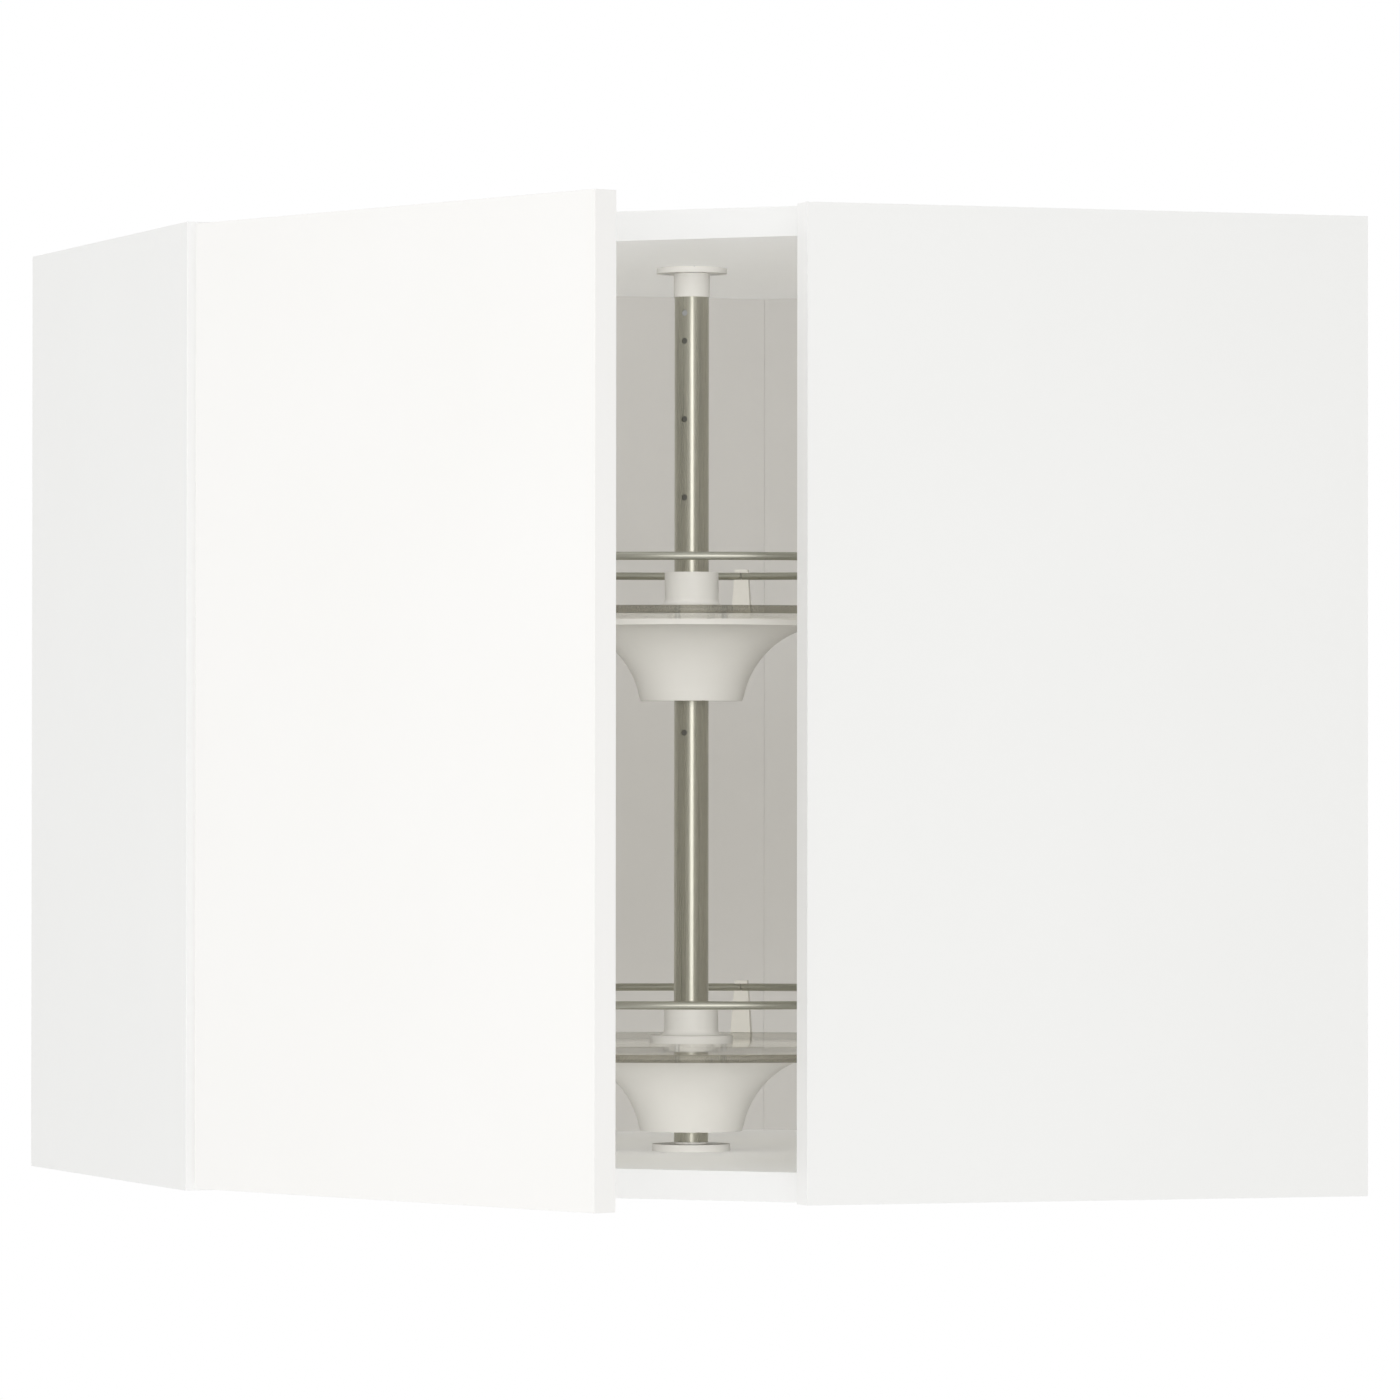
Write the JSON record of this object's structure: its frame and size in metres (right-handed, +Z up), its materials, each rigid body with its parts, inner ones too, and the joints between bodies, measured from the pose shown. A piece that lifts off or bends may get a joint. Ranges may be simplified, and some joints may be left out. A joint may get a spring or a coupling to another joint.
{
  "type": "corner carousel cabinet",
  "caption": "Diagonal corner wall cabinet with a hinged door and a two-tier glass carousel that turns on a steel post.",
  "frame": {"origin": "on the carousel axis at the cabinet's underside", "axes": "+Z up along the carousel axis, +X to the right seen from the front, -Y out of the closed door; the two room walls lie at 45 degrees behind"},
  "size_m": [0.9404, 0.7908, 0.6],
  "materials": {
    "carcass_foil": "smooth white melamine foil",
    "board_foil": "smooth white melamine foil",
    "back_board_foil": "white foiled fibreboard",
    "door_foil": "matt warm white foil",
    "beech": "plain beech",
    "satin_nickel": "satin nickel plate",
    "shelf_glass": "clear tempered glass with ground edge",
    "clear_bumper": "clear soft pad",
    "white_plastic": "moulded warm white plastic",
    "zinc_plate": "bright zinc plate"
  },
  "bodies": {
    "carcass": {"left_side_panel": "carcass_foil", "right_side_panel": "carcass_foil", "top_board": "board_foil", "bottom_board": "board_foil", "left_back_board": "back_board_foil", "right_back_board": "back_board_foil", "corner_back_board": "back_board_foil", "carcass_dowels": "beech", "cam_bolts": "zinc_plate", "cam_discs": "zinc_plate", "hanging_brackets": "zinc_plate", "bracket_screws": "zinc_plate", "post": "satin_nickel", "floor_plate": "white_plastic", "ceiling_plate": "white_plastic", "plate_screws": "zinc_plate", "post_lock_screw": "zinc_plate", "upper_stop_ring": "white_plastic", "lower_stop_ring": "white_plastic", "upper_fixing_pin": "zinc_plate", "lower_fixing_pin": "zinc_plate", "slip_washers": "white_plastic", "hinge_plates": "zinc_plate", "hinge_plate_screws": "zinc_plate", "hinge_guides": "zinc_plate"},
    "door": {"door_panel": "door_foil", "door_bumpers": "clear_bumper", "hinge_cups": "zinc_plate", "hinge_cup_screws": "zinc_plate", "hinge_arms": "zinc_plate", "hinge_arm_screws": "zinc_plate"},
    "upper_carousel": {"upper_shelf": "shelf_glass", "upper_cone": "white_plastic", "upper_hub": "white_plastic", "upper_hub_screws": "zinc_plate", "upper_rail": "satin_nickel", "upper_rail_supports": "white_plastic"},
    "lower_carousel": {"lower_shelf": "shelf_glass", "lower_cone": "white_plastic", "lower_hub": "white_plastic", "lower_hub_screws": "zinc_plate", "lower_rail": "satin_nickel", "lower_rail_supports": "white_plastic"}
  },
  "joints": [
    {"name": "door_hinge", "type": "hinge", "parent": "carcass", "child": "door", "pos_m": [-0.2331, -0.26072, 0], "axis": [0, 0, -1], "range_deg": [-25, 65]},
    {"name": "upper_turn", "type": "hinge", "parent": "carcass", "child": "upper_carousel", "pos_m": [0, 0, 0.361], "axis": [0, 0, 1], "continuous": true},
    {"name": "lower_turn", "type": "hinge", "parent": "carcass", "child": "lower_carousel", "pos_m": [0, 0, 0.0868], "axis": [0, 0, 1], "continuous": true}
  ]
}
